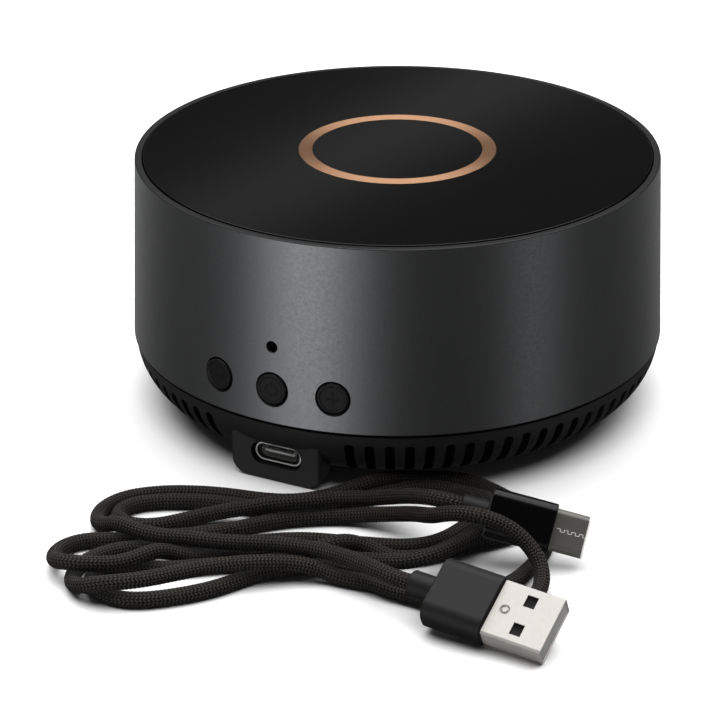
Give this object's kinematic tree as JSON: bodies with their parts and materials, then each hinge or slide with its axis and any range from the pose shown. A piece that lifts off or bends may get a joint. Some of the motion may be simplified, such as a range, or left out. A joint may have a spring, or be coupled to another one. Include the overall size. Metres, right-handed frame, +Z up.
{
  "type": "portable bluetooth speaker",
  "caption": "Low round tabletop speaker with a metal sleeve, gloss top disc with an inlaid ring, slotted base, side buttons, charging port and a detached braided cable.",
  "frame": {"origin": "centre of the foot pad's underside, on the surface that the speaker stands on", "axes": "+Z up through the top disc; the buttons and the charging port face -Y; +X is to the right of them"},
  "size_m": [0.1362, 0.1738, 0.0547],
  "materials": {
    "sleeve_aluminium": "satin anodised gunmetal, fine vertical sparkle",
    "top_gloss": "polished black",
    "rose_gold": "lathe-turned rose gold, fine concentric grooves",
    "base_plastic": "matte black moulded",
    "grey_plastic": "matte dark grey moulded",
    "button_plastic": "satin dark grey",
    "rubber": "matte black rubber",
    "dust_mesh": "black woven dust mesh",
    "bright_metal": "bright nickel plating",
    "dark_metal": "black painted steel",
    "screw_steel": "dark zinc-plated steel",
    "circuit_board": "green solder mask",
    "battery_wrap": "blue heat-shrink",
    "paper_cone": "pressed black paper",
    "ferrite": "dull sintered ferrite",
    "coil_copper": "enamelled copper wire",
    "cable_braid": "black braided nylon",
    "plug_plastic": "matte dark grey overmould",
    "plug_gloss": "gloss black overmould",
    "plug_dark_metal": "dark nickel plating",
    "plug_tongue": "black insulator"
  },
  "bodies": {
    "speaker": {"base_shell": "base_plastic", "foot_pad": "rubber", "vent_mesh": "dust_mesh", "sound_diffuser": "base_plastic", "sleeve": "sleeve_aluminium", "top_disc": "top_gloss", "copper_ring": "rose_gold", "disc_gasket": "rubber", "top_frame": "base_plastic", "inner_housing": "grey_plastic", "baffle_plate": "grey_plastic", "main_board": "circuit_board", "bluetooth_module": "bright_metal", "amplifier_chip": "base_plastic", "battery": "battery_wrap", "battery_pad": "rubber", "usb_c_shell": "bright_metal", "usb_c_tongue": "base_plastic", "usb_board": "circuit_board", "button_board": "circuit_board", "switch_minus": "base_plastic", "switch_power": "base_plastic", "switch_plus": "base_plastic", "mic_capsule": "bright_metal", "mic_gasket": "rubber", "driver_basket": "dark_metal", "driver_gasket": "rubber", "surround": "rubber", "spider": "dust_mesh", "front_plate": "dark_metal", "magnet": "ferrite", "yoke": "dark_metal", "base_screw_1": "screw_steel", "base_screw_2": "screw_steel", "base_screw_3": "screw_steel", "baffle_screw_1": "screw_steel", "baffle_screw_2": "screw_steel", "baffle_screw_3": "screw_steel", "top_screw_1": "screw_steel", "top_screw_2": "screw_steel", "top_screw_3": "screw_steel", "board_screw_1": "screw_steel", "board_screw_2": "screw_steel", "board_screw_3": "screw_steel"},
    "button_minus": {"button_minus": "button_plastic"},
    "button_power": {"button_power": "button_plastic"},
    "button_plus": {"button_plus": "button_plastic"},
    "cone_assembly": {"driver_cone": "paper_cone", "dust_cap": "paper_cone", "voice_coil": "coil_copper"},
    "charge_cable": {"charge_cable": "cable_braid", "usb_a_collar": "plug_plastic", "usb_a_housing": "plug_plastic", "usb_a_shell": "bright_metal", "usb_a_tongue": "plug_tongue", "usb_c_plug_collar": "plug_plastic", "usb_c_plug_housing": "plug_gloss", "usb_c_plug_shell": "plug_dark_metal"}
  },
  "joints": [
    {"name": "button_minus_press", "type": "slide", "parent": "speaker", "child": "button_minus", "axis": [0.2215, 0.9751, 0], "range_m": [0, 0.0004], "stiffness_N_per_m": 1500},
    {"name": "button_power_press", "type": "slide", "parent": "speaker", "child": "button_power", "axis": [-0.0052, 1, 0], "range_m": [0, 0.0004], "stiffness_N_per_m": 1500},
    {"name": "button_plus_press", "type": "slide", "parent": "speaker", "child": "button_plus", "axis": [-0.2317, 0.9728, 0], "range_m": [0, 0.0004], "stiffness_N_per_m": 1500},
    {"name": "cone_travel", "type": "slide", "parent": "speaker", "child": "cone_assembly", "axis": [0, 0, -1], "range_m": [-0.0015, 0.0015], "stiffness_N_per_m": 900, "deforming": ["surround", "spider"]},
    {"name": "cable_slide", "type": "slide", "parent": "speaker", "child": "charge_cable", "axis": [0.53, -0.848, 0], "range_m": [0, 0.08]}
  ]
}
